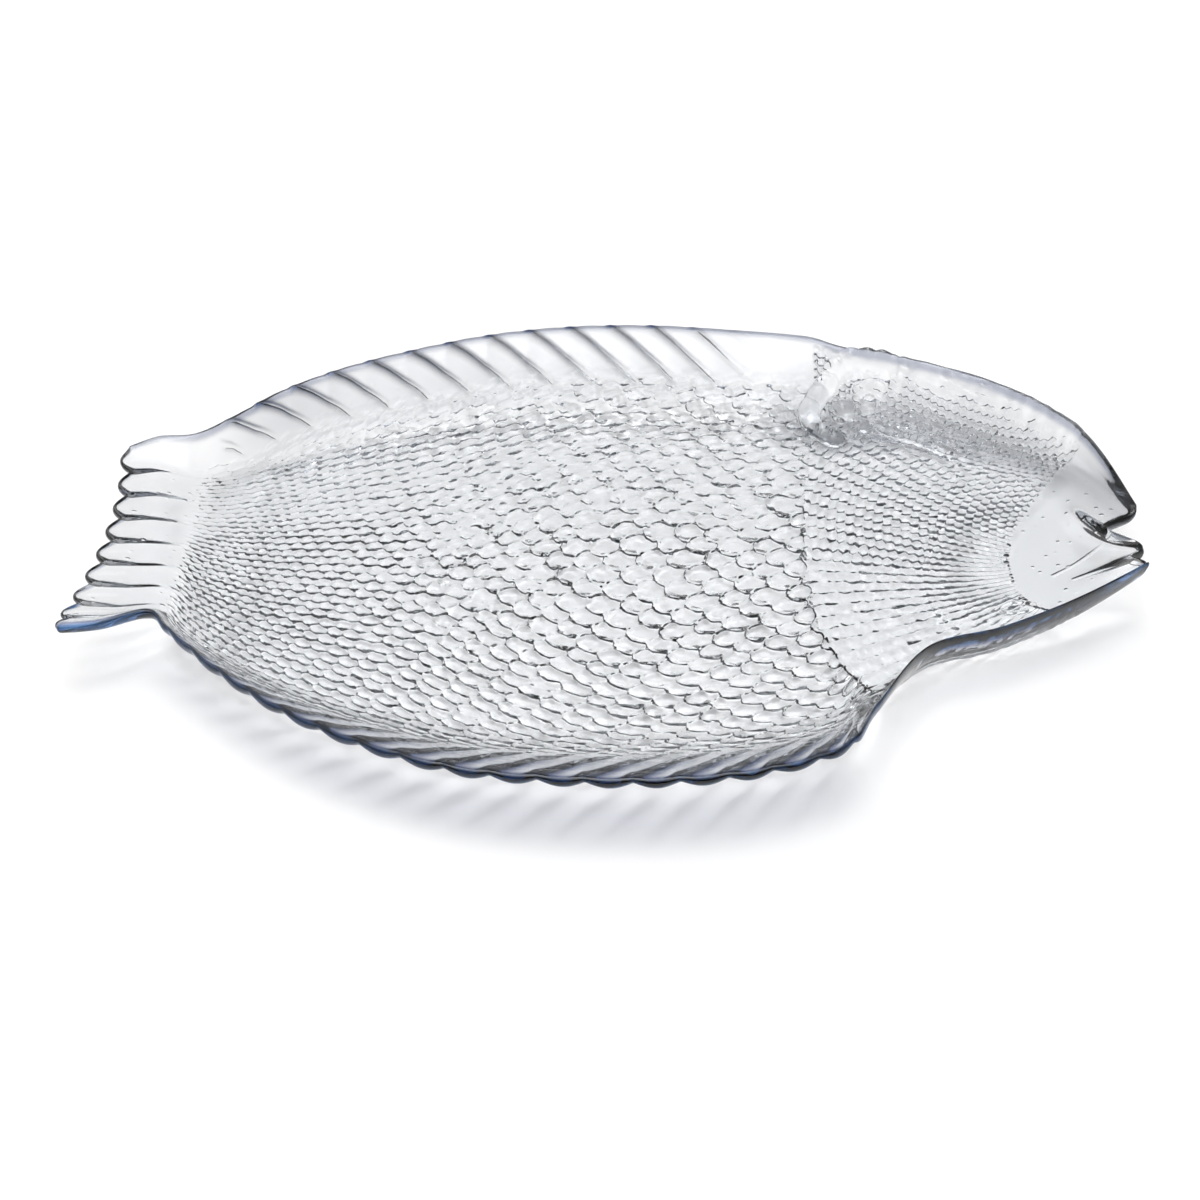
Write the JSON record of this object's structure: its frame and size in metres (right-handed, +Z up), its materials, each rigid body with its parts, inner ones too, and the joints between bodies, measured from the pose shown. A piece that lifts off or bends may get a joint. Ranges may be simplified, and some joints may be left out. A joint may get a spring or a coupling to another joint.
{
  "type": "fish shaped platter",
  "caption": "Oval serving platter in clear blue-tinted pressed glass, shaped as a flat fish with fluted fins, a rayed tail and a shallow scaled well.",
  "frame": {"origin": "centre of the platter's plan box, on the flat base that rests on the table", "axes": "+X from the tail to the lips, +Y from the belly fin to the dorsal fin, +Z up out of the well"},
  "size_m": [0.3599, 0.2564, 0.0248],
  "materials": {
    "clear_glass": "fire-polished"
  },
  "bodies": {
    "root": {"well_floor": "clear_glass", "tail_fin": "clear_glass", "tail_wall": "clear_glass", "belly_fin": "clear_glass", "dorsal_fin": "clear_glass", "belly_wall": "clear_glass", "dorsal_wall": "clear_glass", "throat_wall": "clear_glass", "brow": "clear_glass", "cheek": "clear_glass", "upper_jaw": "clear_glass", "lower_jaw": "clear_glass"}
  },
  "joints": []
}
